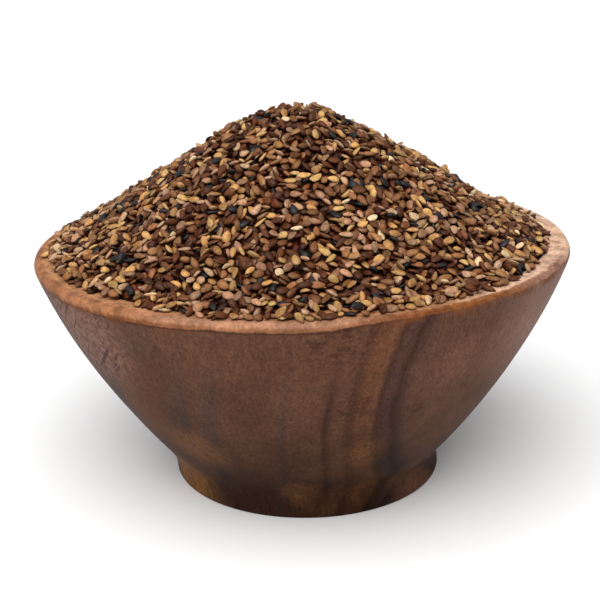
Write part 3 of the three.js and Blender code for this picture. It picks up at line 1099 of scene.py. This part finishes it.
def seed_shapes(random):
    """A few unlike seeds of unit length, width and thickness, and the faces they share."""
    deselect_all()
    bpy.ops.mesh.primitive_uv_sphere_add(segments=8, ring_count=6, radius=0.5)
    piece = bpy.context.object
    piece.name = "seed_pattern"
    bpy.ops.object.mode_set(mode="EDIT")
    mesh = bmesh.from_edit_mesh(piece.data)
    # The pointed tip is at +Z until the seed is laid down
    for latitude, width in SEED_RING_WIDTHS.items():
        height = 0.5 * math.sin(math.radians(latitude))
        bpy.ops.mesh.select_all(action="DESELECT")
        for vert in mesh.verts:
            vert.select = abs(vert.co.z - height) < 0.01
        mesh.select_flush(True)
        bpy.ops.transform.resize(value=(width, width, 1), center_override=(0, 0, height))
    bpy.ops.mesh.select_all(action="SELECT")
    bpy.ops.transform.rotate(value=math.pi / 2, orient_axis="Y", center_override=(0, 0, 0))
    bpy.ops.object.mode_set(mode="OBJECT")
    base = points_of(piece.data)
    faces = [list(p.vertices) for p in piece.data.polygons]
    pattern_mesh = piece.data
    bpy.data.objects.remove(piece)
    bpy.data.meshes.remove(pattern_mesh)

    shapes = []
    for bend in SEED_BENDS:
        shape = base * (1 + SEED_UNEVENNESS * random.normal(size=base.shape))
        shape[:, 2] += bend * (1 - (2 * base[:, 0]) ** 2) * 2
        shapes.append(shape)
    return np.array(shapes), faces


def seed_material(kind, rgb, seeds):
    """Dry hull: each seed has its own tone, a paler rim, a dark tip and faint mottling, and
    is painted darker, as shade, where it lies deep in the gaps."""
    sheet = NodeSheet(kind)
    sheet.place = sheet.add("ShaderNodeTexCoord").outputs["Object"]
    tone, warmth = sheet.attribute("tone"), sheet.attribute("warmth")
    base = sheet.mix(warmth, scaled(rgb, REDDEST), scaled(rgb, YELLOWEST))
    base = sheet.shade(base, tone, 0.0, 1.0, 0.62, 1.38)
    base = sheet.tint(base, tone, 0.0, 0.7, DARKEST)
    # The rim of a light seed stands out more than that of a dark one
    lightness = sum(rgb)
    paler = sheet.mix(0.5, base, scaled(seeds.rim, [lightness] * 3))
    rim_share = 0.5 if lightness > 0.5 else 0.25
    base = sheet.mix(sheet.spread(sheet.attribute("edge"), 0.5, 1.0, 0.0, rim_share), base, paler)
    base = sheet.shade(base, sheet.pattern("hull_mottling"), 0.32, 0.68, 0.72, 1.2)
    base = sheet.shade(base, sheet.attribute("along"), -0.5, -0.3, 0.6, 1.0)
    # Painted shade: seeds deep in the gaps are darkened and reddened
    base = sheet.tint(base, sheet.attribute("below_skin"), 1.6 * MM, 0.5 * MM, seeds.hollow)
    sheet.surface({
        "Base Color": base,
        "Roughness": sheet.spread(tone, 0.0, 1.0, 0.42, 0.58),
        "Specular IOR Level": 0.3 if kind == "seeds_black" else 0.2,
    })
    sheet.bump(sheet.pattern("hull_bumps"), 0.15, 0.2 * MM)
    return sheet.material


# ----------------------------------------------------------------------- stage

class SESAME_OT_stage(bpy.types.Operator):
    """Set the camera, the soft lights and the pale floor"""

    bl_idname = "sesame.stage"
    bl_label = "Stage"

    def execute(self, context):
        stage = context.scene.sesame_stage
        self.add_camera(context.scene, stage)
        self.add_lights(context.scene, stage)
        self.add_floor(stage)
        return {"FINISHED"}

    def add_camera(self, scene, stage):
        elevation = stage.camera_elevation
        target = np.array([stage.camera_side, 0, stage.camera_height])
        back = np.array([0, -math.cos(elevation), math.sin(elevation)])
        deselect_all()
        bpy.ops.object.camera_add(
            location=target + stage.camera_distance * back,
            rotation=(math.pi / 2 - elevation, 0, 0),
        )
        camera = bpy.context.object
        camera.name = "camera"
        camera.data.lens = stage.camera_lens
        camera.data.clip_start = 0.01
        camera.rotation_euler.rotate_axis("Z", -stage.camera_roll)
        scene.camera = camera

    def add_lights(self, scene, stage):
        deselect_all()
        bpy.ops.object.light_add(type="SUN", location=(-0.3, -0.5, 1.0), rotation=stage.key_turn)
        key = bpy.context.object
        key.name = "key_light"
        key.data.energy = stage.key_strength
        key.data.angle = stage.key_spread
        world = bpy.data.worlds.new("white_room")
        world.use_nodes = True
        background = world.node_tree.nodes["Background"]
        background.inputs["Color"].default_value = (1, 1, 1, 1)
        background.inputs["Strength"].default_value = stage.sky
        scene.world = world
        scene.view_settings.view_transform = "Standard"

    def add_floor(self, stage):
        deselect_all()
        bpy.ops.mesh.primitive_plane_add(size=40, location=(0, 0, 0))
        floor = bpy.context.object
        floor.name = "floor"
        sheet = NodeSheet("pale_floor")
        sheet.surface({"Base Color": rgba(stage.floor), "Roughness": 0.9})
        floor.data.materials.append(sheet.material)


# ----------------------------------------------------------------------- panel

class SESAME_PT_panel(bpy.types.Panel):
    bl_idname = "SESAME_PT_panel"
    bl_label = "Bowl of Sesame Seeds"
    bl_space_type = "VIEW_3D"
    bl_region_type = "UI"
    bl_category = "Sesame"

    def draw(self, context):
        for operator in (SESAME_OT_stage, SESAME_OT_bowl, SESAME_OT_heap):
            self.layout.operator(operator.bl_idname)


SETTINGS = {
    "sesame_bowl": BowlSettings,
    "sesame_heap": HeapSettings,
    "sesame_seeds": SeedSettings,
    "sesame_stage": StageSettings,
}
CLASSES = (
    *SETTINGS.values(),
    SESAME_OT_stage,
    SESAME_OT_bowl,
    SESAME_OT_heap,
    SESAME_PT_panel,
)


def register():
    for item in CLASSES:
        bpy.utils.register_class(item)
    for name, group in SETTINGS.items():
        setattr(bpy.types.Scene, name, PointerProperty(type=group))


def unregister():
    for name in SETTINGS:
        delattr(bpy.types.Scene, name)
    for item in reversed(CLASSES):
        bpy.utils.unregister_class(item)


def main():
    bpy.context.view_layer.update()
    register()
    bpy.ops.sesame.stage()
    bpy.ops.sesame.bowl()
    bpy.ops.sesame.heap()


if __name__ == "__main__":
    main()
